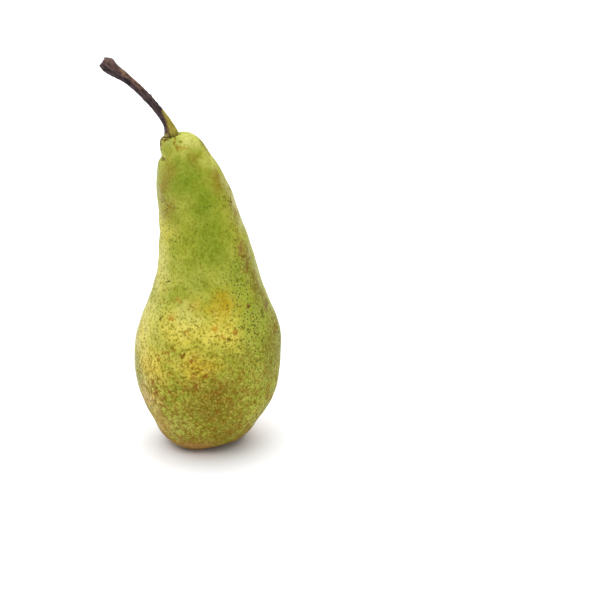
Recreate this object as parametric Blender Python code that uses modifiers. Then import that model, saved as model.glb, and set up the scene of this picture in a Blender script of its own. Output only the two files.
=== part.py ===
"""A ripe pear of a long-necked russeted kind, standing on the ring of flesh round its eye.

Three pieces: the fruit with its skin, the woody stem sunk in the top of the neck, and the dried
calyx sunk in the eye underneath. Metres, +Z up, the floor at height 0, the stem leaning to -X.
"""

import math

import bmesh
import bpy
import numpy as np
from mathutils import Matrix

# Driving dimensions
FRUIT_HEIGHT = 0.1313
BULB_RADIUS = 0.0303
STEM_SCALE = 0.0016  # half the thickness of the stem at its slimmest
EYE_RADIUS = 0.0032  # the calyx tube, across its outside
MESH_GAP = 0.0003  # clearance between pieces that touch
FRAME_SHIFT = (0.0028, -0.0004, 0.0)  # brings the middle of the whole pear over the origin

# The fruit's outline from the middle of the eye to the middle of the stem pit, as control points
# of a smooth curve: radius and sideways lean as shares of BULB_RADIUS, height of FRUIT_HEIGHT
OUTLINE = (
    (0.000, 0.032, 0.033),
    (0.112, 0.030, 0.033),
    (0.205, 0.014, 0.030),
    (0.284, -0.007, 0.020),
    (0.396, -0.007, 0.010),
    (0.572, 0.016, 0.010),
    (0.726, 0.075, 0.040),
    (0.888, 0.152, 0.056),
    (0.995, 0.243, 0.058),
    (0.999, 0.343, 0.067),
    (0.878, 0.446, 0.080),
    (0.691, 0.541, 0.094),
    (0.600, 0.640, 0.062),
    (0.538, 0.731, -0.003),
    (0.485, 0.815, -0.073),
    (0.406, 0.891, -0.139),
    (0.297, 0.952, -0.201),
    (0.211, 0.994, -0.267),
    (0.106, 1.003, -0.323),
    (0.000, 0.993, -0.343),
)
RINGS_PER_SPAN = 3
FRUIT_SIDES = 56

# Swellings and hollows of the skin: height, direction round the fruit in degrees, reach up and
# down, reach round in degrees, and how far the skin stands out
SWELLINGS = (
    (0.1272, 184.0, 0.0030, 60.0, 0.0006),
    (0.1218, 188.0, 0.0016, 24.0, -0.0005),
    (0.0900, 40.0, 0.0180, 60.0, 0.0005),
    (0.0560, 120.0, 0.0140, 50.0, -0.0006),
    (0.0300, 60.0, 0.0160, 45.0, 0.0005),
)
# Low waves round the fruit, as shares of its radius: two and three a turn over the bulb, and five
# a turn at the foot, where the core's five cells show
BULB_MIDDLE, BULB_REACH = 0.042, 0.034
TWOFOLD_WAVE, THREEFOLD_WAVE = 0.012, -0.010
FOOT_REACH = 0.014
FIVEFOLD_WAVE = 0.020
# The fold underneath: direction and reach round the fruit in degrees, rise, and the radius that it
# lies at with its reach inwards and outwards
FOLD_DIRECTION, FOLD_SPREAD = -52.0, 42.0
FOLD_RISE = 0.0020
FOLD_RADIUS, FOLD_REACH = 0.014, 0.008
FOLD_TOP = 0.020

# The stem from its sunken root to the scar where it left the twig: sideways place and height in
# metres, and thickness as a share of STEM_SCALE
STEM_PATH = (
    (-0.0100, 0.1234, 0.94),
    (-0.0102, 0.1270, 1.06),
    (-0.0105, 0.1304, 1.90),
    (-0.0114, 0.1338, 1.19),
    (-0.0136, 0.1379, 0.97),
    (-0.0171, 0.1429, 1.00),
    (-0.0214, 0.1480, 0.96),
    (-0.0260, 0.1523, 1.06),
    (-0.0306, 0.1555, 1.48),
    (-0.0341, 0.1577, 1.90),
    (-0.0359, 0.1592, 1.65),
)
STEM_STEPS = 3
STEM_SIDES = 12
STEM_RIDGES = (0.05, 0.06)  # depth of the three low ridges, and how far the section is oval

SEPAL_COUNT = 5
SEPAL_LENGTH = 0.0042
SEPAL_WIDTH = 0.0026
SEPAL_THICKNESS = 0.0007
STAMEN_COUNT = 7
STAMEN_RADIUS = 0.0004
EYE_FLOOR = 0.0080  # height of the top of the calyx tube, sunk in the flesh
EYE_MOUTH = 0.0037  # height of its rim, at the bottom of the basin
EYE_DISH = 0.0022  # depth of the open hollow inside the rim
EYE_WALL = 0.0009
EYE_SIDES = 24


def smooth_curve(points, steps):
    """Points along a uniform cubic B-spline, each a weighted mean of four control points."""
    count = len(points) - 3
    along = np.linspace(0.0, count, count * steps + 1)
    first = np.minimum(along.astype(int), count - 1)
    t = (along - first)[:, None]
    weights = (
        (1 - t) ** 3 / 6,
        (3 * t**3 - 6 * t**2 + 4) / 6,
        (-3 * t**3 + 3 * t**2 + 3 * t + 1) / 6,
        t**3 / 6,
    )
    return sum(weight * points[first + k] for k, weight in enumerate(weights))


def fruit_outline():
    """Radius, height and lean of each ring, mirrored past the axis so that both ends close round."""
    points = np.array(OUTLINE) * (BULB_RADIUS, FRUIT_HEIGHT, BULB_RADIUS)
    across_axis = np.array((-1.0, 1.0, 1.0))
    points = np.vstack((points[1] * across_axis, points, points[-2] * across_axis))
    return smooth_curve(points, RINGS_PER_SPAN)


def turned_between(angle, direction):
    """How far an angle lies from a direction in degrees, in radians from -pi to pi."""
    return (angle - math.radians(direction) + math.pi) % (2 * math.pi) - math.pi


def skin_points(ring, angle):
    """Points of the skin on given rings, at given angles from +X.

    Each ring is a circle on the leaning axis, drawn in and out by low waves that repeat 2, 3 and
    5 times a turn, and by the swellings. The fold underneath lifts it, and the floor flattens it.
    """
    radius, height, lean = fruit_outline()[ring].T
    bulb = np.exp(-(((height - BULB_MIDDLE) / BULB_REACH) ** 2))
    foot = np.exp(-((height / FOOT_REACH) ** 2))
    waves = bulb * (TWOFOLD_WAVE * np.sin(2 * angle) + THREEFOLD_WAVE * np.sin(3 * angle))
    waves += foot * FIVEFOLD_WAVE * np.sin(5 * angle)
    reach = radius * (1 + waves)
    off_axis = np.clip(radius / (0.3 * BULB_RADIUS), 0, 1)
    for level, direction, up, around, amount in SWELLINGS:
        spread = turned_between(angle, direction) / math.radians(around)
        reach += off_axis * amount * np.exp(-(((height - level) / up) ** 2) - spread**2)
    under = np.exp(-(((radius - FOLD_RADIUS) / FOLD_REACH) ** 2)) * (height < FOLD_TOP)
    fold = np.exp(-((turned_between(angle, FOLD_DIRECTION) / math.radians(FOLD_SPREAD)) ** 2))
    lifted = height + FOLD_RISE * under * fold
    return np.stack(
        (lean + reach * np.cos(angle), reach * np.sin(angle), np.maximum(lifted, 0.0)), axis=1
    )


def new_collection(name):
    collection = bpy.data.collections.new(name)
    bpy.context.scene.collection.children.link(collection)
    return collection


def new_object(name, mesh, collection):
    mesh.name = name
    obj = bpy.data.objects.new(name, mesh)
    collection.objects.link(obj)
    return obj


def as_cutter(obj):
    obj.hide_render = True
    obj.display_type = "WIRE"
    return obj


def boolean(obj, other, operation):
    modifier = obj.modifiers.new(other.name, "BOOLEAN")
    modifier.operation = operation
    modifier.solver = "EXACT"
    if isinstance(other, bpy.types.Collection):
        modifier.operand_type = "COLLECTION"
        modifier.collection = other
    else:
        modifier.object = other


def evaluated_mesh(obj):
    graph = bpy.context.evaluated_depsgraph_get()
    return bpy.data.meshes.new_from_object(obj.evaluated_get(graph))


def plain_material(name, colour, roughness):
    material = bpy.data.materials.new(name)
    material.use_nodes = True
    shader = material.node_tree.nodes["Principled BSDF"]
    shader.inputs["Base Color"].default_value = (*colour, 1.0)
    shader.inputs["Roughness"].default_value = roughness
    shader.inputs["Metallic"].default_value = 0.0
    return material


def fruit_body(collection):
    """A globe whose latitudes are the outline's rings and whose longitudes are the angles."""
    rings = len(fruit_outline()) - 1
    bm = bmesh.new()
    bmesh.ops.create_uvsphere(bm, u_segments=FRUIT_SIDES, v_segments=rings, radius=1.0)
    globe = np.array([vert.co for vert in bm.verts])
    latitude = np.arcsin(np.clip(globe[:, 2], -1, 1)) + math.pi / 2
    ring = np.rint(latitude / math.pi * rings).astype(int)
    moved = skin_points(ring, np.arctan2(globe[:, 1], globe[:, 0]))
    for vert, place in zip(bm.verts, moved):
        vert.co = place
    bmesh.ops.recalc_face_normals(bm, faces=bm.faces)
    mesh = bpy.data.meshes.new("fruit")
    bm.to_mesh(mesh)
    bm.free()
    mesh.shade_smooth()
    return new_object("fruit", mesh, collection)


def stem_curve(name, clearance, extra_reach):
    """A tube along the stem's path, thicker all round by the clearance.

    Both ends run on by extra_reach, along the last stretch of the path.
    """
    points = np.array(STEM_PATH) * (1.0, 1.0, STEM_SCALE)
    points = np.vstack((2 * points[0] - points[1], points, 2 * points[-1] - points[-2]))
    path = smooth_curve(points, STEM_STEPS)
    for end, inner in ((0, 1), (-1, -2)):
        outward = path[end, :2] - path[inner, :2]
        path[end, :2] += outward / np.linalg.norm(outward) * extra_reach
    section = bpy.data.curves.new(name + " section", "CURVE")
    section.dimensions = "2D"
    ridge, oval = STEM_RIDGES
    loop = section.splines.new("POLY")
    loop.points.add(STEM_SIDES - 1)
    loop.use_cyclic_u = True
    for k, point in enumerate(loop.points):
        angle = 2 * math.pi * k / STEM_SIDES
        reach = 1 + ridge * math.cos(3 * angle) + oval * math.cos(2 * angle)
        point.co = (reach * math.cos(angle), reach * math.sin(angle), 0.0, 1.0)
    guide = new_object(name + " section", section, bpy.data.collections["cutters"])
    as_cutter(guide)
    curve = bpy.data.curves.new(name, "CURVE")
    curve.dimensions = "3D"
    curve.bevel_mode = "OBJECT"
    curve.bevel_object = guide
    curve.use_fill_caps = True
    spline = curve.splines.new("POLY")
    spline.points.add(len(path) - 1)
    for point, (sideways, height, thickness) in zip(spline.points, path):
        point.co = (sideways, 0.0, height, 1.0)
        point.radius = thickness + clearance
    return new_object(name, curve, bpy.data.collections["cutters"])


def stem_solid(name, collection, clearance=0.0, extra_reach=0.0):
    """The tube made a closed mesh: its end caps are loose, so their edges are welded."""
    curve = stem_curve(name + " curve", clearance, extra_reach)
    mesh = evaluated_mesh(curve)
    bm = bmesh.new()
    bm.from_mesh(mesh)
    bmesh.ops.remove_doubles(bm, verts=bm.verts, dist=0.00002)
    bmesh.ops.recalc_face_normals(bm, faces=bm.faces)
    bm.to_mesh(mesh)
    bm.free()
    mesh.shade_smooth()
    mesh.set_sharp_from_angle(angle=math.radians(50))
    solid = new_object(name, mesh, collection)
    solid.matrix_world = curve.matrix_world
    section = curve.data.bevel_object
    bpy.data.objects.remove(curve)
    bpy.data.objects.remove(section)
    return solid


def eye_centre():
    """The axis of the eye, which leans with the lowest ring."""
    return OUTLINE[0][2] * BULB_RADIUS


def eye_pocket(collection):
    """A round pocket up the middle of the basin, which the calyx tube sits in."""
    radius = EYE_RADIUS + MESH_GAP
    top = EYE_FLOOR + MESH_GAP
    bm = bmesh.new()
    bmesh.ops.create_cone(
        bm,
        cap_ends=True,
        segments=EYE_SIDES,
        radius1=radius,
        radius2=radius,
        depth=2 * top,
        matrix=Matrix.Translation((eye_centre(), 0.0, 0.0)),
    )
    mesh = bpy.data.meshes.new("eye pocket")
    bm.to_mesh(mesh)
    bm.free()
    return as_cutter(new_object("eye pocket", mesh, collection))


def calyx_tube(collection):
    """The turned tube of the calyx: a plug in the flesh, with an open dish facing down."""
    profile = (
        (0.0, EYE_FLOOR),
        (EYE_RADIUS * 0.8, EYE_FLOOR),
        (EYE_RADIUS, EYE_FLOOR - 0.0008),
        (EYE_RADIUS, EYE_MOUTH),
        (EYE_RADIUS - EYE_WALL, EYE_MOUTH),
        (EYE_RADIUS - 1.5 * EYE_WALL, EYE_MOUTH + 0.7 * EYE_DISH),
        (0.0, EYE_MOUTH + EYE_DISH),
    )
    mesh = bpy.data.meshes.new("calyx")
    edges = [(k, k + 1) for k in range(len(profile) - 1)]
    mesh.from_pydata([(radius, 0.0, height) for radius, height in profile], edges, [])
    tube = new_object("calyx", mesh, collection)
    tube.location.x = eye_centre()
    screw = tube.modifiers.new("turned", "SCREW")
    screw.steps = EYE_SIDES
    screw.render_steps = EYE_SIDES
    screw.use_merge_vertices = True
    screw.merge_threshold = 0.00001
    return tube


def sepal(number, collection):
    """One dried sepal: a pointed blade that drops from the rim and curls outwards.

    Its middle line is a quarter turn from downward to outward, and its width shrinks to the tip.
    """
    bm = bmesh.new()
    bmesh.ops.create_grid(bm, x_segments=7, y_segments=4, size=0.5)
    sweep = math.radians(78 + 8 * math.sin(2.3 * number))
    length = SEPAL_LENGTH * (1 + 0.10 * math.sin(4.1 * number))
    turn_radius = length / sweep
    for vert in bm.verts:
        along = vert.co.x + 0.5
        across = vert.co.y
        width = SEPAL_WIDTH * (1 - 0.80 * along**1.6)
        angle = sweep * along
        outward = EYE_RADIUS * 0.72 + turn_radius * (1 - math.cos(angle))
        down = EYE_MOUTH + 0.0006 - turn_radius * math.sin(angle)
        trough = 0.0006 * (2 * across) ** 2 * (1 - 0.5 * along)
        vert.co = (outward - trough, across * width, down)
    mesh = bpy.data.meshes.new("sepal")
    bm.to_mesh(mesh)
    bm.free()
    blade = new_object(f"sepal {number}", mesh, collection)
    blade.location.x = eye_centre()
    blade.rotation_euler.z = 2 * math.pi * number / SEPAL_COUNT + 0.12 * math.sin(3.7 * number)
    wall = blade.modifiers.new("thickness", "SOLIDIFY")
    wall.thickness = SEPAL_THICKNESS
    wall.offset = 0.0
    return blade


def stamen(number, collection):
    """One withered stamen: a short stub that leans outwards from the floor of the dish."""
    length = 0.0030 + 0.0004 * math.sin(2.9 * number)
    bm = bmesh.new()
    bmesh.ops.create_cone(
        bm,
        cap_ends=True,
        segments=6,
        radius1=STAMEN_RADIUS * 0.8,
        radius2=STAMEN_RADIUS,
        depth=length,
    )
    mesh = bpy.data.meshes.new("stamen")
    bm.to_mesh(mesh)
    bm.free()
    stub = new_object(f"stamen {number}", mesh, collection)
    direction = 2 * math.pi * number / STAMEN_COUNT
    ring = 0.0010 + 0.0003 * (number % 2)
    stub.location = (
        eye_centre() + ring * math.cos(direction),
        ring * math.sin(direction),
        EYE_MOUTH + EYE_DISH + 0.0006 - length / 2,
    )
    stub.rotation_euler = (0.18 * math.sin(direction), -0.18 * math.cos(direction), 0.0)
    return stub


def dried_calyx(collection):
    """The tube, its sepals and its stamens fused into one piece."""
    tube = calyx_tube(collection)
    repeats = new_collection("calyx repeats")
    for number in range(SEPAL_COUNT):
        sepal(number, repeats)
    for number in range(STAMEN_COUNT):
        stamen(number, repeats)
    boolean(tube, repeats, "UNION")
    fused = evaluated_mesh(tube)
    tube.modifiers.clear()
    tube.data = fused
    for repeat in list(repeats.objects):
        bpy.data.objects.remove(repeat)
    bpy.data.collections.remove(repeats)
    fused.shade_smooth()
    fused.set_sharp_from_angle(angle=math.radians(40))
    return tube


for old in list(bpy.data.objects):
    bpy.data.objects.remove(old)

pear = new_collection("pear")
cutters = new_collection("cutters")

fruit = fruit_body(pear)
stem = stem_solid("stem", pear)
calyx = dried_calyx(pear)
stem_socket = as_cutter(stem_solid("stem socket", cutters, MESH_GAP, MESH_GAP))
boolean(fruit, stem_socket, "DIFFERENCE")
boolean(fruit, eye_pocket(cutters), "DIFFERENCE")

fruit.data.materials.append(plain_material("green skin", (0.35, 0.35, 0.045), 0.42))
stem.data.materials.append(plain_material("brown bark", (0.075, 0.035, 0.022), 0.75))
calyx.data.materials.append(plain_material("dried sepals", (0.045, 0.025, 0.016), 0.85))

frame = bpy.data.objects.new("pear frame", None)
pear.objects.link(frame)
frame.location = FRAME_SHIFT
for obj in [*pear.objects, *cutters.objects]:
    if obj is not frame:
        obj.parent = frame
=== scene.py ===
"""A ripe long-necked pear, standing on the ring of flesh round its eye, in a white light tent."""

import math

import bpy
import numpy as np
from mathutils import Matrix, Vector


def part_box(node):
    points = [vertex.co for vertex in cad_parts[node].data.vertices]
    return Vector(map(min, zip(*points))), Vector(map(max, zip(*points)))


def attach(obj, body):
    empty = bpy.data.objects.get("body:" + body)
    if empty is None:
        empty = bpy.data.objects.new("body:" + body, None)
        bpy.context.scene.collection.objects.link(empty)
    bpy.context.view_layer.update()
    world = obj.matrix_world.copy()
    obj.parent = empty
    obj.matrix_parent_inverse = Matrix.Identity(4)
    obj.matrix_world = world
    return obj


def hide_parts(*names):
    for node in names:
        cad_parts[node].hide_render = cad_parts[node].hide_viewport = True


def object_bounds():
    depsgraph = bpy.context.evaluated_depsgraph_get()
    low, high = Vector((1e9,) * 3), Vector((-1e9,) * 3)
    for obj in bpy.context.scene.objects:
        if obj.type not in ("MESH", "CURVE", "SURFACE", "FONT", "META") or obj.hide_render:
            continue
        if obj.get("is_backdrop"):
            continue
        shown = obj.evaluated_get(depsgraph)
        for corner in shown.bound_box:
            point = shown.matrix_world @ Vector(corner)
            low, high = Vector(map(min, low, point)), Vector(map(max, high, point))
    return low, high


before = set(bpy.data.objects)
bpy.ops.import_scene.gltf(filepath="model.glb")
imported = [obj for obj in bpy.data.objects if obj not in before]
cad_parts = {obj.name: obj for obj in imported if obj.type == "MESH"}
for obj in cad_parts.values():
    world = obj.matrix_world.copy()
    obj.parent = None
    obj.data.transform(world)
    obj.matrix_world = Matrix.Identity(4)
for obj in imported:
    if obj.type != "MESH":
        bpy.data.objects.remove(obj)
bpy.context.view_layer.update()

# The fruit: firm white flesh in a thin waxy skin, green where it grew in the shade and yellow where
# it ripened, with corky brown russet that closes over the foot. Light is also painted into the skin:
# painted shade on its right side and towards the bottom, painted sheen on its edges and a painted
# highlight on the top of its neck. It grew as one piece round the eye underneath, so it is one
# closed surface here, and it stands on the low ring round that eye.
BULB_RADIUS = 0.0303
FRUIT_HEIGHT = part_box("fruit")[1].z
FOOT_CENTRE = np.array((0.0028, -0.0004, 0.0))

# Control points from the middle of the eye to the middle of the stem pit: radius, height and
# sideways lean, the height as a share of FRUIT_HEIGHT and the others of BULB_RADIUS
OUTLINE = (
    (0.000, 0.060, 0.033),
    (0.070, 0.060, 0.033),
    (0.108, 0.052, 0.033),
    (0.118, 0.036, 0.033),
    (0.140, 0.026, 0.033),
    (0.205, 0.014, 0.030),
    (0.284, -0.007, 0.020),
    (0.396, -0.007, 0.010),
    (0.572, 0.016, 0.010),
    (0.726, 0.075, 0.040),
    (0.888, 0.152, 0.056),
    (0.995, 0.243, 0.058),
    (0.999, 0.343, 0.067),
    (0.878, 0.446, 0.080),
    (0.691, 0.541, 0.094),
    (0.600, 0.640, 0.062),
    (0.538, 0.731, -0.003),
    (0.485, 0.815, -0.073),
    (0.406, 0.891, -0.139),
    (0.297, 0.952, -0.201),
    (0.211, 0.994, -0.267),
    (0.140, 1.006, -0.315),
    (0.100, 1.001, -0.335),
    (0.070, 0.994, -0.343),
    (0.000, 0.990, -0.343),
)
RINGS_PER_SPAN = 12
FRUIT_SIDES = 320

# Low waves round the fruit, as shares of its radius: two and three a turn over the bulb, and five
# a turn at the foot, where the core's five cells show. All waves and relief fade out towards the
# axis within AXIS_SHARE of the bulb's radius
BULB_MIDDLE, BULB_REACH = 0.042, 0.034
TWOFOLD_WAVE, THREEFOLD_WAVE = 0.012, -0.010
FOOT_REACH = 0.014
FIVEFOLD_WAVE = 0.020
AXIS_SHARE = 0.3
# The fold underneath: direction and reach round the fruit in degrees, rise, and the radius that it
# lies at with its reach inwards and outwards
FOLD_DIRECTION, FOLD_SPREAD = -52.0, 42.0
FOLD_RISE = 0.0020
FOLD_RADIUS, FOLD_REACH = 0.014, 0.008
FOLD_TOP = 0.020
# Swellings and hollows: height, direction in degrees, reach up and down, reach round in degrees,
# and how far the skin stands out. The first is the lip beside the stem, the next two are the crease
# under it
SWELLINGS = (
    (0.1309, 182.0, 0.0025, 62.0, 0.0010),
    (0.1231, 186.0, 0.0022, 38.0, -0.0009),
    (0.1217, 186.0, 0.0007, 34.0, -0.0005),
    (0.1285, 250.0, 0.0020, 26.0, 0.0004),
    (0.1240, 300.0, 0.0040, 30.0, -0.0003),
    (0.1235, 0.0, 0.0030, 50.0, -0.0003),
    (0.1190, 0.0, 0.0065, 50.0, 0.0006),
    (0.1135, 180.0, 0.0045, 45.0, 0.0004),
    (0.1120, 235.0, 0.0060, 40.0, 0.0003),
    (0.0900, 40.0, 0.0180, 60.0, 0.0005),
    (0.0860, 180.0, 0.0080, 45.0, 0.0004),
    (0.0560, 180.0, 0.0065, 45.0, 0.0006),
    (0.0560, 120.0, 0.0140, 50.0, -0.0006),
    (0.0480, 0.0, 0.0080, 45.0, 0.00025),
    (0.0430, 185.0, 0.0050, 40.0, -0.0001),
    (0.0420, 90.0, 0.0200, 30.0, -0.0003),
    (0.0420, 270.0, 0.0200, 30.0, -0.0003),
    (0.0320, 180.0, 0.0080, 50.0, 0.0005),
    (0.0300, 60.0, 0.0160, 45.0, 0.0005),
    (0.0165, 185.0, 0.0080, 55.0, 0.0004),
    (0.0062, 185.0, 0.0034, 50.0, 0.0008),
)
# The top of the neck slopes down to the lip: how far it drops at the stem's place, how much more
# for each metre to the left of that, and the heights between which the drop sets in
TOP_DROP, TOP_TILT = 0.0014, 0.190
STEM_PLACE = -0.0101
DROP_START, DROP_FULL = 0.1205, 0.1290
# Flesh that has grown up against the stem on its right: middle sideways and back, reach, and rise
COLLAR_MIDDLE, COLLAR_REACH, COLLAR_RISE = (-0.0074, -0.0013), 0.0018, 0.0009
# Uneven growth of the skin: length of the waves and how far they lift it
SKIN_RELIEF = ((0.021, 0.00022), (0.0075, 0.00007), (0.0026, 0.000018))
WAVES_PER_RELIEF = 14


def smooth_curve(points, steps):
    """Uniform cubic B-spline: each point is a weighted mean of four control points in a row."""
    count = len(points) - 3
    along = np.linspace(0.0, count, count * steps + 1)
    first = np.minimum(along.astype(int), count - 1)
    t = (along - first)[:, None]
    weights = (
        (1 - t) ** 3 / 6,
        (3 * t**3 - 6 * t**2 + 4) / 6,
        (-3 * t**3 + 3 * t**2 + 3 * t + 1) / 6,
        t**3 / 6,
    )
    return sum(weight * points[first + k] for k, weight in enumerate(weights))


def relief(points, scales, seed):
    """Sum of cosine waves in fixed random directions: for each scale, height times their mean."""
    random = np.random.default_rng(seed)
    total = np.zeros(points.shape[:-1])
    for length, height in scales:
        ways = random.normal(size=(WAVES_PER_RELIEF, 3))
        ways /= np.linalg.norm(ways, axis=1)[:, None]
        phases = random.uniform(0, 2 * math.pi, WAVES_PER_RELIEF)
        waves = np.cos(points @ ways.T * (2 * math.pi / length) + phases)
        total += height * waves.sum(axis=-1) / math.sqrt(WAVES_PER_RELIEF / 2)
    return total


def turned_between(angle, direction):
    """How far an angle lies from a direction in degrees, in radians from -pi to pi."""
    return (angle - math.radians(direction) + math.pi) % (2 * math.pi) - math.pi


def skin_rings():
    """Grid of the skin: rows are rings along the outline, columns are angles from +X.

    Each ring is a circle on the leaning axis, drawn in and out by the low waves, the swellings and
    the relief. Underneath, the fold lifts it and the floor flattens it. At the top, the slope
    lowers it towards the lip and the collar of flesh beside the stem raises it.
    """
    control = np.array(OUTLINE) * (BULB_RADIUS, FRUIT_HEIGHT, BULB_RADIUS)
    across_axis = np.array((-1.0, 1.0, 1.0))
    control = np.vstack((control[1] * across_axis, control, control[-2] * across_axis))
    radius, height, lean = (part[:, None] for part in smooth_curve(control, RINGS_PER_SPAN).T)
    angle = np.linspace(0, 2 * math.pi, FRUIT_SIDES, endpoint=False)[None, :]
    bulb = np.exp(-(((height - BULB_MIDDLE) / BULB_REACH) ** 2))
    foot = np.exp(-((height / FOOT_REACH) ** 2))
    waves = bulb * (TWOFOLD_WAVE * np.sin(2 * angle) + THREEFOLD_WAVE * np.sin(3 * angle))
    waves = waves + foot * FIVEFOLD_WAVE * np.sin(5 * angle)
    off_axis = np.clip(radius / (AXIS_SHARE * BULB_RADIUS), 0, 1)
    flat = np.stack(
        np.broadcast_arrays(lean + radius * np.cos(angle), radius * np.sin(angle), height), axis=-1
    )
    reach = radius * (1 + waves) + off_axis * relief(flat, SKIN_RELIEF, seed=4)
    for level, direction, up, around, amount in SWELLINGS:
        spread = turned_between(angle, direction) / math.radians(around)
        reach = reach + off_axis * amount * np.exp(-(((height - level) / up) ** 2) - spread**2)
    sideways, back = lean + reach * np.cos(angle), reach * np.sin(angle)
    under = np.exp(-(((radius - FOLD_RADIUS) / FOLD_REACH) ** 2)) * (height < FOLD_TOP)
    fold = np.exp(-((turned_between(angle, FOLD_DIRECTION) / math.radians(FOLD_SPREAD)) ** 2))
    lifted = np.maximum(height + FOLD_RISE * under * fold, 0.0)
    near_top = np.clip((height - DROP_START) / (DROP_FULL - DROP_START), 0, 1)
    near_top = near_top**2 * (3 - 2 * near_top)
    lifted = lifted - near_top * (TOP_DROP + TOP_TILT * (STEM_PLACE - sideways))
    from_collar = np.hypot(sideways - COLLAR_MIDDLE[0], back - COLLAR_MIDDLE[1])
    lifted = lifted + near_top * COLLAR_RISE * np.exp(-((from_collar / COLLAR_REACH) ** 2))
    return FOOT_CENTRE + np.stack((sideways, back, lifted), axis=-1)


def closed_surface(name, rings, start, end):
    """One smooth closed mesh: rings of points joined in order, with a point closing either end."""
    count, around = rings.shape[:2]
    here = np.arange(count * around).reshape(count, around)
    beside = np.roll(here, -1, axis=1)
    walls = np.stack((here[:-1], beside[:-1], beside[1:], here[1:]), axis=-1).reshape(-1, 4)
    tip = np.full(around, count * around)
    first = np.stack((tip, beside[0], here[0]), axis=-1)
    last = np.stack((tip + 1, here[-1], beside[-1]), axis=-1)
    mesh = bpy.data.meshes.new(name)
    points = np.vstack((rings.reshape(-1, 3), start, end))
    mesh.from_pydata(points.tolist(), [], [*walls.tolist(), *first.tolist(), *last.tolist()])
    mesh.shade_smooth()
    piece = bpy.data.objects.new(name, mesh)
    bpy.context.scene.collection.objects.link(piece)
    return piece


rings = skin_rings()
fruit = closed_surface("fruit_skin", rings[1:-1], rings[0, 0], rings[-1, 0])
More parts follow.
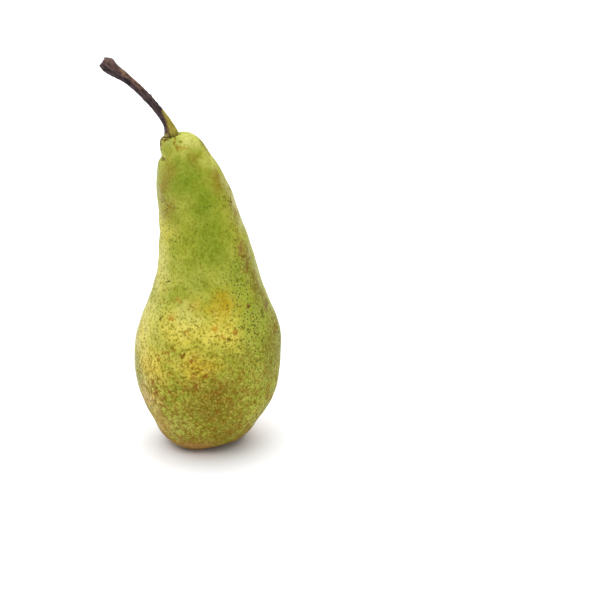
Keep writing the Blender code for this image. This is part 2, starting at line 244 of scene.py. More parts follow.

# Where the skin is green, ripe, pale, dotted, corky or waxy, and where light is painted on it:
# painted shade on its right side, darker painted shade at its right edge and towards the bottom,
# painted sheen in pale rims along its edges, painted highlight on the top of the neck and the left
# side. Middle of each spot and its reach along the axes, in millimetres, and its strength
SKIN_SPOTS = {
    "green": (
        ((-6.0, -9.5, 121.5), (4.5, 8.0, 6.0), 0.9),
        ((0.0, -13.0, 116.0), (10.0, 14.0, 14.0), 1.0),
        ((5.0, -15.0, 105.0), (9.5, 12.0, 18.0), 1.0),
        ((7.0, -16.0, 91.0), (11.5, 14.0, 18.0), 1.0),
        ((3.0, -18.0, 80.0), (12.0, 14.0, 12.0), 0.26),
        ((17.5, -14.0, 79.0), (9.0, 13.0, 13.0), 0.65),
        ((-6.0, -28.5, 38.0), (9.5, 9.0, 8.0), 0.85),
        ((2.0, -26.0, 20.0), (20.0, 16.0, 14.0), 0.25),
        ((-6.0, 14.0, 104.0), (12.0, 14.0, 34.0), 0.9),
        ((18.0, 20.0, 58.0), (20.0, 20.0, 26.0), 0.9),
        ((-12.0, 24.0, 30.0), (18.0, 16.0, 18.0), 0.7),
    ),
    # painted shade: the right side in a darker green
    "painted_side_shade": (
        ((27.0, -15.0, 62.0), (13.0, 20.0, 24.0), 0.7),
        ((32.0, -12.0, 46.0), (12.0, 22.0, 22.0), 1.0),
        ((26.0, -8.0, 69.0), (8.0, 14.0, 15.0), 1.0),
        ((20.0, -12.0, 80.0), (7.0, 12.0, 12.0), 0.6),
        ((26.0, 18.0, 60.0), (16.0, 20.0, 24.0), 0.6),
    ),
    "yellow": (
        ((10.0, -26.0, 57.0), (17.0, 20.0, 12.0), 1.0),
        ((-4.0, -25.0, 58.0), (16.0, 20.0, 12.0), 0.9),
        ((-17.0, -22.0, 43.0), (14.0, 16.0, 14.0), 1.0),
        ((-21.0, -15.0, 54.0), (13.0, 20.0, 20.0), 0.85),
        ((1.0, -29.0, 44.0), (15.0, 12.0, 11.0), 0.85),
        ((-14.0, -10.0, 78.0), (8.0, 14.0, 16.0), 0.6),
        ((-11.5, -8.0, 93.0), (5.0, 12.0, 20.0), 0.5),
        ((8.0, 28.0, 44.0), (24.0, 18.0, 18.0), 0.8),
        ((-24.0, 8.0, 50.0), (16.0, 20.0, 22.0), 0.8),
        ((4.0, 14.0, 92.0), (9.0, 12.0, 20.0), 0.5),
    ),
    # paler skin; on the top of the neck and on the left side these spots are painted highlight
    "pale_and_painted_highlight": (
        ((-0.5, -5.0, 130.0), (9.0, 11.0, 6.5), 0.9),
        ((7.5, -5.0, 122.5), (5.0, 9.0, 9.0), 0.6),
        ((3.0, -17.5, 77.0), (10.0, 9.0, 8.0), 0.15),
        ((9.0, -26.0, 57.0), (12.0, 8.0, 7.0), 0.25),
        ((-7.0, -21.0, 14.0), (11.0, 10.0, 9.0), 0.45),
        ((-3.0, 6.0, 129.0), (9.0, 8.0, 6.0), 0.7),
        ((-12.5, -10.0, 80.0), (6.0, 9.0, 18.0), 0.6),
        ((-17.0, -16.0, 59.0), (9.0, 12.0, 12.0), 0.6),
        ((-3.0, -23.0, 63.0), (9.0, 10.0, 9.5), 0.7),
        ((10.0, 20.0, 74.0), (10.0, 12.0, 14.0), 0.5),
    ),
    "olive": (
        ((-9.5, -9.0, 113.5), (8.0, 12.0, 14.0), 1.0),
        ((-8.5, -11.0, 102.5), (7.0, 9.0, 13.0), 0.85),
        ((10.0, -6.5, 115.0), (7.0, 10.0, 12.0), 1.0),
        ((1.8, -8.5, 123.0), (6.0, 6.0, 4.5), 0.8),
        ((20.5, -9.5, 83.0), (5.0, 8.0, 18.0), 0.8),
        ((18.5, -10.0, 92.0), (5.0, 8.0, 10.0), 0.8),
        ((15.0, -4.0, 103.0), (5.0, 9.0, 14.0), 0.8),
        ((5.0, -28.0, 27.0), (16.0, 16.0, 16.0), 0.6),
        ((-8.0, 10.0, 112.0), (7.0, 9.0, 14.0), 0.6),
        ((6.0, 26.0, 22.0), (22.0, 16.0, 18.0), 0.6),
    ),
    "warm": (
        ((12.8, -22.0, 66.7), (11.0, 12.0, 9.5), 0.85),
        ((-0.2, -22.8, 67.0), (6.5, 8.0, 5.0), 0.85),
        ((-18.0, -21.5, 40.0), (9.0, 9.0, 8.0), 0.5),
        ((4.0, -29.5, 43.0), (12.0, 9.0, 8.0), 0.7),
        ((16.0, 22.0, 70.0), (7.0, 8.0, 6.0), 0.5),
    ),
    # painted shade: darker olive-brown along the right edge and towards the bottom
    "painted_shade_below_and_right": (
        ((9.0, -27.0, 28.0), (15.0, 14.0, 14.0), 0.66),
        ((12.0, -22.0, 14.0), (16.0, 16.0, 14.0), 0.55),
        ((20.0, -23.0, 47.0), (12.0, 12.0, 9.0), 0.35),
        ((32.0, -9.0, 50.0), (7.0, 13.0, 21.0), 0.9),
        ((26.0, -8.5, 69.0), (7.0, 11.0, 16.0), 1.0),
        ((31.0, -12.0, 44.0), (7.0, 14.0, 16.0), 0.7),
        ((22.5, -8.0, 80.0), (5.0, 9.0, 11.0), 0.7),
        ((-2.0, -17.0, 2.0), (20.0, 14.0, 6.0), 0.6),
        ((20.0, 20.0, 24.0), (18.0, 18.0, 18.0), 0.5),
    ),
    # painted sheen: pale rims along the edges of the neck, the lip and the lower left, standing for
    # the reflection of the white surroundings
    "down": (
        ((-11.0, -4.5, 128.2), (5.0, 8.0, 4.4), 0.25),
        ((24.3, -3.0, 90.0), (5.4, 9.0, 17.0), 0.5),
        ((28.9, -4.0, 77.0), (5.4, 9.0, 14.0), 0.5),
        ((19.3, -2.5, 104.0), (6.4, 9.0, 16.0), 0.7),
        ((15.4, -2.5, 114.0), (6.0, 9.0, 11.0), 0.55),
        ((-21.0, -13.0, 26.0), (6.0, 9.0, 14.0), 0.6),
        ((-25.5, -9.0, 42.0), (5.0, 10.0, 20.0), 0.75),
    ),
    "dotted": (
        ((28.0, -14.0, 54.0), (22.0, 28.0, 38.0), 1.0),
        ((20.0, -15.0, 74.0), (14.0, 18.0, 20.0), 0.9),
        ((-6.0, -22.0, 58.0), (20.0, 16.0, 16.0), 0.25),
        ((10.0, -26.0, 50.0), (18.0, 14.0, 16.0), 0.24),
        ((-13.0, -14.0, 80.0), (10.0, 16.0, 22.0), 0.35),
        ((12.0, 26.0, 60.0), (24.0, 20.0, 30.0), 0.55),
        ((-24.0, 10.0, 54.0), (16.0, 20.0, 28.0), 0.6),
    ),
    "freckled": (
        ((-9.0, -10.0, 98.0), (13.0, 16.0, 25.0), 1.0),
        ((15.0, -6.0, 100.0), (11.0, 14.0, 32.0), 1.0),
        ((20.0, -11.0, 82.0), (11.0, 14.0, 24.0), 1.0),
        ((2.0, -14.0, 94.0), (18.0, 16.0, 20.0), 0.5),
        ((-14.0, -13.0, 70.0), (12.0, 16.0, 20.0), 0.6),
        ((-6.0, 12.0, 100.0), (14.0, 12.0, 28.0), 0.5),
    ),
    "flank": (
        ((-17.0, -19.5, 27.0), (8.0, 12.0, 13.0), 1.0),
        ((-20.0, 14.0, 26.0), (10.0, 14.0, 14.0), 0.25),
    ),
    "tan": (
        ((-15.5, -17.5, 13.0), (8.0, 14.0, 15.0), 1.0),
        ((-21.0, -15.0, 22.0), (6.0, 12.0, 14.0), 0.8),
        ((-4.0, -20.0, 2.0), (24.0, 20.0, 8.0), 0.9),
        ((12.0, 14.0, 4.0), (26.0, 22.0, 14.0), 0.9),
    ),
    "russet": (
        ((-14.0, -22.0, 28.0), (12.0, 14.0, 15.0), 0.86),
        ((-21.0, -15.0, 44.0), (9.0, 12.0, 14.0), 0.74),
        ((0.0, -29.0, 35.0), (15.0, 12.0, 12.0), 0.70),
        ((16.0, -26.0, 30.0), (16.0, 14.0, 16.0), 0.78),
        ((-9.0, -24.0, 49.0), (14.0, 12.0, 9.0), 0.72),
        ((12.0, -26.0, 55.0), (8.0, 12.0, 5.0), 0.55),
        ((-13.0, -18.0, 66.0), (7.0, 10.0, 8.0), 0.50),
        ((20.5, -10.5, 82.0), (5.0, 8.0, 16.0), 0.70),
        ((31.5, -8.5, 52.0), (4.0, 8.0, 16.0), 0.80),
        ((25.5, -7.5, 70.0), (4.5, 8.0, 14.0), 0.80),
        ((-9.5, -9.0, 106.0), (6.0, 7.0, 14.0), 0.50),
        ((14.0, 24.0, 36.0), (20.0, 18.0, 18.0), 0.75),
        ((-20.0, 16.0, 40.0), (16.0, 18.0, 20.0), 0.66),
    ),
    "wax": (
        ((-16.0, -14.0, 116.0), (24.0, 26.0, 36.0), 0.8),
        ((-24.0, -16.0, 60.0), (34.0, 30.0, 50.0), 0.9),
        ((-10.0, 24.0, 70.0), (30.0, 26.0, 60.0), 0.6),
    ),
}
# Waves that make the edges of spots ragged: length and height, in millimetres
SPOT_DRIFT = ((24.0, 0.8), (9.0, 0.8), (4.0, 0.5))
# Share of russet by height: it closes over the foot and thins out up the fruit
RUSSET_HEIGHTS = (0.0, 3.0, 9.0, 20.0, 34.0, 46.0, 60.0, 84.0, 100.0, 126.0)
RUSSET_SHARES = (1.0, 1.0, 0.74, 0.66, 0.66, 0.52, 0.36, 0.22, 0.12, 0.08)


def spot_share(places, spots):
    """How strongly a group of spots colours each place, from 0 to 1.

    A spot is at its full strength in the middle and fades by a smooth step to 0 at its reach.
    Where two overlap, the stronger counts.
    """
    total = np.zeros(len(places))
    for centre, reach, strength in spots:
        inside = 1 - np.clip(np.linalg.norm((places - centre) / reach, axis=1), 0, 1)
        total = np.maximum(total, strength * inside**2 * (3 - 2 * inside))
    return total


def mesh_points(piece):
    """The points of a piece's mesh, one row each, in metres."""
    points = np.empty(3 * len(piece.data.vertices))
    piece.data.vertices.foreach_get("co", points)
    return points.reshape(-1, 3)


def store_share(piece, name, shares):
    """Keeps a share for each point of a piece's mesh, where its material reads it by name."""
    piece.data.attributes.new(name, "FLOAT", "POINT").data.foreach_set("value", shares)


places = 1000 * mesh_points(fruit)
drifted = places + np.stack([relief(places, SPOT_DRIFT, seed=20 + k) for k in range(3)], axis=-1)
for name, spots in SKIN_SPOTS.items():
    share = spot_share(drifted, spots)
    if name == "russet":
        share = np.maximum(share, np.interp(drifted[:, 2], RUSSET_HEIGHTS, RUSSET_SHARES))
    store_share(fruit, name, share)

MILLIMETRES = (1000.0, 1000.0, 1000.0)
SMOOTH = {"interpolation_type": "SMOOTHSTEP"}  # from none to full by a smooth step


def hex_colour(text):
    """sRGB hex to linear, as the shader wants it."""
    srgb = np.array([int(text[k : k + 2], 16) / 255 for k in (0, 2, 4)])
    linear = np.where(srgb > 0.04045, ((srgb + 0.055) / 1.055) ** 2.4, srgb / 12.92)
    return (*linear, 1.0)


def add_node(material, kind, inputs=None, **settings):
    """Adds a node with its settings, and sets or links its inputs, a node by its first output."""
    made = material.node_tree.nodes.new("ShaderNode" + kind)
    for name, value in settings.items():
        setattr(made, name, value)
    for socket, value in (inputs or {}).items():
        if isinstance(value, bpy.types.Node):
            value = value.outputs[0]
        if isinstance(value, bpy.types.NodeSocket):
            material.node_tree.links.new(value, made.inputs[socket])
        else:
            made.inputs[socket].default_value = value
    return made


def new_material(name):
    """An empty material with its shader, and its Object coordinates in millimetres."""
    material = bpy.data.materials.new(name)
    material.use_nodes = True
    material.node_tree.nodes.clear()
    shader = add_node(material, "BsdfPrincipled")
    add_node(material, "OutputMaterial", {"Surface": shader})
    place = add_node(material, "TexCoord").outputs["Object"]
    return material, shader, add_node(material, "Mapping", {"Vector": place, "Scale": MILLIMETRES})


def layered(material, ground, layers):
    """Lays colours over a ground one after another, each by its share from 0 to 1."""
    for share, above in layers:
        inputs = {0: share, 6: ground, 7: hex_colour(above)}
        ground = add_node(material, "Mix", inputs, data_type="RGBA").outputs[2]
    return ground


# Skin: a living plant skin under a thin natural wax, never polished. Satin, with cork-brown russet
# and breathing pores that are matt. The pattern sizes, in millimetres, are those of such a pear.
PORE_SPACING, PORE_RADIUS = 1.45, 0.62
SPECK_SPACING, SPECK_RADIUS = 1.05, 0.30
FRECKLE_SPACING, FRECKLE_RADIUS = 1.60, 0.60
DOT_CORE = 0.3  # share of a dot's radius that has its full colour
HALO_SHARE = 1.8  # reach of the pale ring round a pore, as a share of the pore's radius
NET_SIZE = 1.5
PATCH_SIZE = 2.8
FLECK_SIZE = 1.05
CLOUD_SIZE = 7.0
STREAK_SHARE = 0.38  # on the flank the flecks are drawn out up and down: width over length
# How a pattern covers more as its share grows: noise above first + second * share is covered
NET_COVER, NET_EDGE = (0.75, -0.30), 0.06
PATCH_COVER, PATCH_EDGE = (0.77, -0.33), 0.09
WAXY_ROUGHNESS, CORK_ROUGHNESS = 0.42, 0.62
THIN_WAX_SHINE, THICK_WAX_SHINE = 0.06, 0.50
CORK_RISE = 0.6  # how far cork stands up, as a share of the flecks' own height

skin, shader, mm = new_material("waxy_pear_skin")
spots = {
    name: add_node(skin, "Attribute", attribute_name=name).outputs["Fac"] for name in SKIN_SPOTS
}
russet = spots["russet"]
clouds = add_node(skin, "TexNoise", {"Vector": mm, "Scale": 1 / CLOUD_SIZE, "Detail": 4.0})
cloudy = add_node(skin, "MapRange", {0: clouds, 1: 0.35, 2: 0.65}, **SMOOTH)
drawn_out = add_node(skin, "Mapping", {"Vector": mm, "Scale": (1.0, 1.0, STREAK_SHARE)})
fleck = {"Scale": 1 / FLECK_SIZE, "Detail": 4.0, "Roughness": 0.7}
flecks, streaks = (
    add_node(skin, "TexNoise", {"Vector": way, **fleck}) for way in (mm, drawn_out)
)
# Where the noise strays from its middle level, and how far until the fleck has its full colour
light, dark, light_streak, dark_streak = (
    add_node(skin, "MapRange", {0: noise, 1: 0.50, 2: end})
    for noise, end in ((flecks, 0.65), (flecks, 0.35), (streaks, 0.64), (streaks, 0.36))
)
covers = []
for size, (bare, gain), edge in (
    (NET_SIZE, NET_COVER, NET_EDGE), (PATCH_SIZE, PATCH_COVER, PATCH_EDGE)
):
    pattern = {"Vector": mm, "Scale": 1 / size, "Detail": 5.0, "Roughness": 0.58}
    noise = add_node(skin, "TexNoise", pattern)
    level = add_node(skin, "Math", {0: russet, 1: gain, 2: bare}, operation="MULTIPLY_ADD")
    over = add_node(skin, "Math", {0: noise, 1: level}, operation="SUBTRACT")
    covers.append(add_node(skin, "MapRange", {0: over, 1: -edge, 2: edge}, **SMOOTH))
net, patch = covers
# Dots stand in the middles of cells: the distance from there is in shares of the spacing
pore_cells, speck_cells, freckle_cells = (
    add_node(skin, "TexVoronoi", {"Vector": mm, "Scale": 1 / spacing})
    for spacing in (PORE_SPACING, SPECK_SPACING, FRECKLE_SPACING)
)
pore, halo, speck, freckle = (
    add_node(skin, "MapRange", {0: cells, 1: reach, 2: DOT_CORE * reach}, **SMOOTH)
    for cells, reach in (
        (pore_cells, PORE_RADIUS / PORE_SPACING),
        (pore_cells, HALO_SHARE * PORE_RADIUS / PORE_SPACING),
        (speck_cells, SPECK_RADIUS / SPECK_SPACING),
        (freckle_cells, FRECKLE_RADIUS / FRECKLE_SPACING),
    )
)

# The skin's own colours laid one over another, with painted light among them: painted shade in
# darker green and olive-brown, painted highlight in the pale spots, painted sheen in the pale rims
colour = layered(
    skin,
    hex_colour("949E2C"),
    (
        (cloudy, "AAAE40"),
        (spots["green"], "768C1C"),
        (spots["yellow"], "E0CC4A"),
        (spots["painted_side_shade"], "7C921C"),
        (spots["olive"], "887A20"),
        (spots["warm"], "B8960E"),
        (spots["pale_and_painted_highlight"], "CCCC70"),
        (spots["painted_shade_below_and_right"], "6E5C0C"),
        (spots["down"], "C4BC82"),
    ),
)
# What is drawn over those grounds: the pattern, what steers it and between which values, how strong
# it is at either of them, and its colour
PATTERNS = (
    (patch, russet, (0.3, 0.9), (0.45, 0.85), "8A5C14"),
    (halo, spots["dotted"], (0.0, 0.8), (0.0, 0.48), "C0CA60"),
    (light, spots["yellow"], (0.0, 1.0), (0.0, 0.50), "EADF7A"),
    (dark, spots["yellow"], (0.0, 1.0), (0.0, 0.42), "A8981C"),
    (light, russet, (0.1, 0.8), (0.16, 0.68), "CCBE58"),
    (dark, russet, (0.1, 0.8), (0.38, 0.85), "6A5A06"),
    (net, russet, (0.3, 1.0), (0.35, 0.75), "74540E"),
    (spots["tan"], clouds, (0.3, 0.7), (0.45, 0.95), "C4945A"),
    (light_streak, spots["flank"], (0.0, 0.6), (0.0, 0.95), "E8CC6E"),
    (dark_streak, spots["flank"], (0.0, 0.6), (0.0, 0.92), "7A4C18"),
    (pore, russet, (0.04, 0.45), (0.20, 0.70), "6E6410"),
    (pore, spots["dotted"], (0.1, 0.7), (0.0, 0.86), "585400"),
    (speck, russet, (0.30, 0.60), (0.0, 0.60), "6A4A08"),
    (freckle, spots["freckled"], (0.0, 0.6), (0.0, 0.84), "5E500C"),
)
for pattern, steering, (low, high), (bottom, top), tint in PATTERNS:
    scale = add_node(skin, "MapRange", {0: steering, 1: low, 2: high, 3: bottom, 4: top})
    share = add_node(skin, "Math", {0: pattern, 1: scale}, operation="MULTIPLY")
    colour = layered(skin, colour, ((share, tint),))
# Scratches, corky flecks, the brown rim of the lip and painted shade in the crevice round the stem's
# foot: middle and reach in millimetres, slant in degrees, strength, colour
MARKS = (
    ((-9.7, -14.6, 74.4), (2.6, 4.0, 0.34), -28.0, 0.85, "3F3A14"),
    ((-12.1, -19.0, 61.3), (2.4, 4.0, 0.32), -44.0, 0.85, "4A4416"),
    ((5.7, -14.5, 105.2), (4.4, 4.0, 0.26), -4.0, 0.6, "5A6216"),
    ((8.5, -14.0, 105.4), (0.9, 4.0, 0.45), 0.0, 0.6, "4A5216"),
    ((-10.8, -4.3, 122.2), (3.2, 5.0, 1.1), 0.0, 0.75, "6A581C"),
    ((-12.5, -3.0, 127.2), (1.3, 5.0, 4.6), 0.0, 0.85, "5E3A20"),
    ((-11.3, -1.0, 129.6), (2.2, 4.5, 1.1), -25.0, 0.8, "5E3A20"),
    ((-9.0, -1.8, 129.4), (3.6, 4.4, 1.2), -4.0, 0.85, "5E3A1A"),
    # painted shade in the crevice where the stem meets the flesh: dark on the right, browner on the
    # left
    ((-5.2, -2.2, 130.9), (2.4, 2.4, 0.7), -45.0, 0.85, "3E3A10"),
    ((-7.2, -3.3, 130.0), (2.4, 2.4, 0.8), -20.0, 0.85, "42300E"),
    ((-4.0, -7.2, 129.2), (0.9, 3.0, 0.8), 0.0, 0.7, "7A7A28"),
    ((-6.1, -6.9, 129.2), (0.8, 3.0, 1.8), 10.0, 0.8, "826216"),
    ((-5.2, -7.9, 127.4), (0.8, 3.0, 1.8), -12.0, 0.75, "8A6A1C"),
    ((-2.8, -8.2, 126.9), (2.2, 3.0, 1.2), -20.0, 0.5, "A08424"),
    ((5.2, -1.4, 125.9), (0.8, 4.0, 5.4), -33.0, 0.55, "7A6A3A"),
    ((0.5, -23.0, 66.8), (1.9, 4.0, 0.30), 30.0, 0.85, "6A5A08"),
    ((-5.4, -19.9, 68.8), (1.6, 4.0, 1.2), 0.0, 0.5, "B08430"),
    ((-7.9, -21.8, 61.9), (1.9, 4.0, 1.6), -50.0, 0.75, "A87A24"),
    ((-1.5, -24.5, 57.5), (1.5, 4.0, 1.2), 0.0, 0.6, "AA8428"),
    ((9.3, -25.9, 58.8), (1.9, 4.0, 1.4), 30.0, 0.55, "BE8E24"),
    ((12.3, -26.4, 55.2), (2.0, 4.0, 1.0), 40.0, 0.65, "AA7C20"),
    ((15.0, -25.8, 54.2), (1.9, 4.0, 0.45), 36.0, 0.75, "5E4E08"),
    ((17.0, -24.2, 56.5), (1.7, 5.0, 1.3), 20.0, 0.8, "A07020"),
    ((22.0, -17.2, 65.2), (1.0, 4.0, 1.1), 0.0, 0.85, "6E3E18"),
    ((27.4, -12.9, 60.7), (0.9, 4.0, 2.6), -8.0, 0.7, "54480E"),
    ((24.7, -17.4, 59.4), (1.6, 4.0, 0.35), -50.0, 0.8, "3E3A10"),
    ((24.0, -18.4, 57.6), (1.3, 4.0, 0.35), 20.0, 0.7, "3E3A10"),
    ((29.0, -8.6, 62.4), (1.5, 4.0, 3.2), 20.0, 0.8, "7A5C3C"),
    ((19.0, -10.2, 87.0), (1.1, 4.0, 5.0), 14.0, 0.7, "8C6432"),
    ((21.6, -10.0, 79.0), (0.9, 4.0, 3.6), 10.0, 0.65, "6E4E14"),
    ((14.9, -5.6, 104.6), (1.1, 4.0, 1.6), -20.0, 0.8, "5A4414"),
    ((12.8, -6.5, 107.3), (1.0, 4.0, 1.1), 0.0, 0.65, "66561C"),
    ((17.0, -5.4, 100.0), (1.0, 4.0, 2.2), 20.0, 0.6, "8E7044"),
    ((3.4, -29.3, 43.2), (6.0, 6.0, 0.60), 16.0, 0.7, "8E6A14"),
    ((-10.3, -25.4, 48.5), (3.0, 6.0, 0.9), -16.0, 0.65, "94661C"),
    ((-13.4, -22.5, 46.0), (0.9, 6.0, 2.6), 14.0, 0.6, "94661C"),
    ((-3.4, -28.2, 48.4), (0.7, 6.0, 2.4), 34.0, 0.8, "70480C"),
    ((-0.2, -29.1, 46.6), (1.2, 6.0, 1.7), 10.0, 0.75, "8E5C18"),
    ((0.4, -29.9, 39.7), (0.9, 6.0, 2.0), 22.0, 0.7, "8A5A20"),
    ((1.5, -30.0, 35.9), (1.4, 6.0, 1.3), -20.0, 0.75, "825A1E"),
    ((5.4, -30.1, 40.4), (1.3, 6.0, 1.4), 0.0, 0.8, "865808"),
    ((9.5, -29.0, 33.0), (3.0, 6.0, 1.2), 8.0, 0.6, "85560E"),
    ((-14.6, -23.3, 31.2), (1.1, 6.0, 2.6), 24.0, 0.75, "7E4C14"),
    ((-9.5, -26.7, 32.3), (1.6, 6.0, 1.2), -14.0, 0.75, "84561A"),
    ((-12.0, -24.0, 25.0), (2.4, 6.0, 1.0), 14.0, 0.7, "84581C"),
)
# A mark ends where the distance from its middle, in shares of its reach, plus the flecks times
# MARK_RAGGED comes to the first value of MARK_EDGE, and it has its full colour up to the second
MARK_RAGGED, MARK_EDGE = 3.0, (2.5, 1.9)
corky = add_node(skin, "Math", {0: net, 1: patch}, operation="MAXIMUM")
dull = corky = add_node(skin, "Math", {0: corky, 1: pore}, operation="MAXIMUM")
for centre, reach, slant, strength, tint in MARKS:
    turn = (0.0, math.radians(slant), 0.0)
    inputs = {"Vector": mm, "Location": centre, "Rotation": turn, "Scale": reach}
    local = add_node(skin, "Mapping", inputs, vector_type="TEXTURE")
    away = add_node(skin, "VectorMath", {0: local}, operation="LENGTH").outputs["Value"]
    ragged = add_node(skin, "Math", {0: flecks, 1: MARK_RAGGED, 2: away}, operation="MULTIPLY_ADD")
    fade = {0: ragged, 1: MARK_EDGE[0], 2: MARK_EDGE[1], 4: strength}
    share = add_node(skin, "MapRange", fade, **SMOOTH)
    colour = layered(skin, colour, ((share, tint),))
    dull = add_node(skin, "Math", {0: dull, 1: share}, operation="MAXIMUM")

skin.node_tree.links.new(colour, shader.inputs["Base Color"])
rough = add_node(skin, "MapRange", {0: dull, 3: WAXY_ROUGHNESS, 4: CORK_ROUGHNESS})
skin.node_tree.links.new(rough.outputs[0], shader.inputs["Roughness"])
waxed = add_node(skin, "Math", {0: spots["wax"], 1: dull}, operation="SUBTRACT")
shine = add_node(skin, "MapRange", {0: waxed, 3: THIN_WAX_SHINE, 4: THICK_WAX_SHINE})
skin.node_tree.links.new(shine.outputs[0], shader.inputs["Specular IOR Level"])
shader.inputs["IOR"].default_value = 1.45
shader.inputs["Subsurface Weight"].default_value = 0.12
shader.inputs["Subsurface Radius"].default_value = (1.0, 0.55, 0.12)
shader.inputs["Subsurface Scale"].default_value = 0.003
raised = add_node(skin, "Math", {0: corky, 1: CORK_RISE, 2: flecks}, operation="MULTIPLY_ADD")
bump = add_node(skin, "Bump", {"Height": raised, "Strength": 0.3, "Distance": 0.0003})
skin.node_tree.links.new(bump.outputs[0], shader.inputs["Normal"])
fruit.data.materials.append(skin)
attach(fruit, "root")
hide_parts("fruit")

# The stem: the woody stalk that the fruit hung from. Green wood near the flesh, then dry brown
# bark, and a swollen head with the scar where it parted from the twig. It grows out of the neck.
STEM_SLIMMEST = 0.0016
STEM_PATH = (  # sideways and up from the foot's middle, and thickness as a share of STEM_SLIMMEST
    (-0.0100, 0.1234, 0.94),
    (-0.0102, 0.1270, 1.15),
    (-0.0104, 0.1304, 1.88),
    (-0.0112, 0.1338, 1.17),
    (-0.0136, 0.1380, 0.98),
    (-0.0173, 0.1429, 0.99),
    (-0.0221, 0.1480, 0.98),
    (-0.0262, 0.1521, 1.04),
    (-0.0308, 0.1551, 1.30),
    (-0.0342, 0.1578, 1.86),
    (-0.0360, 0.1590, 1.28),
)
STEM_STEPS = 22
STEM_SIDES = 72
STEM_THREEFOLD, STEM_OVAL = 0.04, 0.04
BARK_RIDGES = ((7, 0.020), (11, 0.015), (17, 0.008))  # ridges round the stem and their depth
STEM_TWIST, RIDGE_TWIST = 40.0, 100.0  # how far they turn along the stem, in radians a metre
BARK_RELIEF = ((0.0060, 0.00004), (0.0018, 0.00003), (0.0008, 0.000015))
HEAD_START = 0.80  # share of the stem's length where the head begins to swell
# Knobs on the bark: place along the stem, direction round it in degrees (0 is up and to the right,
# -90 to the front), reach along, reach round in degrees, height. The first is the bud at its base
KNOBS = (
    (0.0074, 226.0, 0.0010, 27.0, 0.00060),
    (0.0245, -10.0, 0.0006, 26.0, 0.00020),
    (0.0410, -60.0, 0.0014, 22.0, 0.00025),
    (0.0440, 15.0, 0.0010, 30.0, 0.00030),
    (0.0430, -110.0, 0.0016, 30.0, -0.00008),
)


def stem_rings():
    """Rings along the stem's path, and for each its length along the stem and angle round it.

    Radius is the path's own times low waves round it, whose ridges turn slowly along the stem,
    plus the bark's relief and its knobs. At the head the waves grow.
    """
    control = np.array(STEM_PATH) * (1.0, 1.0, STEM_SLIMMEST)
    control = np.vstack((2 * control[0] - control[1], control, 2 * control[-1] - control[-2]))
    sideways, up, thickness = smooth_curve(control, STEM_STEPS).T
    middle = FOOT_CENTRE + np.stack((sideways, np.zeros_like(up), up), axis=-1)
    forward = np.gradient(middle, axis=0)
    forward /= np.linalg.norm(forward, axis=1)[:, None]
    outward = np.stack((forward[:, 2], 0 * up, -forward[:, 0]), axis=-1)[:, None, :]
    across = np.array((0.0, 1.0, 0.0))
    angle = np.linspace(0, 2 * math.pi, STEM_SIDES, endpoint=False)[None, :]
    along = np.concatenate(((0.0,), np.linalg.norm(np.diff(middle, axis=0), axis=1).cumsum()))
    along = along[:, None]
    head = np.clip((along / along[-1] - HEAD_START) / (1 - HEAD_START), 0, 1)
    waves = STEM_THREEFOLD * np.cos(3 * angle + STEM_TWIST * along) + STEM_OVAL * np.cos(2 * angle)
    for count, depth in BARK_RIDGES:
        waves = waves + depth * (1 + head) * np.cos(count * angle + RIDGE_TWIST * along + count)
    circle = outward * np.cos(angle)[..., None] + across * np.sin(angle)[..., None]
    bare = middle[:, None, :] + circle * thickness[:, None, None]
    reach = thickness[:, None] * (1 + waves) + relief(bare, BARK_RELIEF, seed=9)
    for place, direction, length, around, amount in KNOBS:
        spread = turned_between(angle, direction) / math.radians(around)
        reach = reach + amount * np.exp(-(((along - place) / length) ** 2) - spread**2)
    return middle, forward, circle, reach, along, angle


middle, forward, circle, reach, along, angle = stem_rings()
wall = middle[:, None, :] + circle * reach[..., None]
# The scar: rings shrinking inwards from the rim of the head, sunk and broken. Share of the rim's
# size and rise above it
SCAR_STEPS = ((0.95, 0.0002), (0.82, 0.0003), (0.62, -0.0001), (0.40, -0.0003), (0.20, -0.0002))
SCAR_RELIEF = ((0.0016, 0.00012), (0.0007, 0.00007))
scar_share, scar_rise = (part[:, None, None] for part in np.array(SCAR_STEPS).T)
scar = middle[-1] + circle[-1] * reach[-1][:, None] * scar_share + forward[-1] * scar_rise
scar += forward[-1] * relief(scar, SCAR_RELIEF, seed=3)[..., None]
stem_points = np.concatenate((wall, scar))
stem = closed_surface("stem_bark", stem_points, middle[0], scar[-1].mean(axis=0))

# Bark: dry fibrous plant bark, grown and weathered, quite matt. Purple-brown, worn to light brown
# on its upper side, and still green where the fruit fed it. Its streaks follow the bend: they are
# read at points round a straight stem, kept on the mesh, in millimetres.
STREAK_LENGTH = 7.0  # how many times longer a streak is than it is wide
STREAKS_PER_MM, BLOTCH_SIZE = 2.2, 1.3
# How far round the green side of the stem reaches, by place along it: 1 is only its upper edge
FRESH_PLACES = (0.0, 0.0085, 0.0113, 0.0140, 0.0172, 0.0190)
FRESH_EDGES = (-1.0, -0.2, -0.05, 0.25, 0.85, 1.6)
WORN_PLACES = (0.0, 0.027, 0.031, 0.037, 0.041, 0.060)  # along the stem
WORN_SHARES = (0.0, 0.0, 0.9, 0.9, 0.24, 0.16)
FRESH_FADE, WORN_FADE = 0.7, 0.5  # how gently both end round the stem
EDGE_RELIEF = ((0.0035, 0.14), (0.0012, 0.10))  # waves that make both ends ragged
BUD_REACH = (0.0010, 0.42)  # metres along the stem and radians round it
rings_in_scar = np.repeat(along[-1:], len(SCAR_STEPS), axis=0)
along = np.vstack((along, rings_in_scar)) + 0 * angle
side = np.cos(angle) + 0 * along
turned = np.sin(angle) + 0 * along
straight = 1000 * np.stack(
    (STEM_SLIMMEST * side, STEM_SLIMMEST * turned, along / STREAK_LENGTH), axis=-1
)
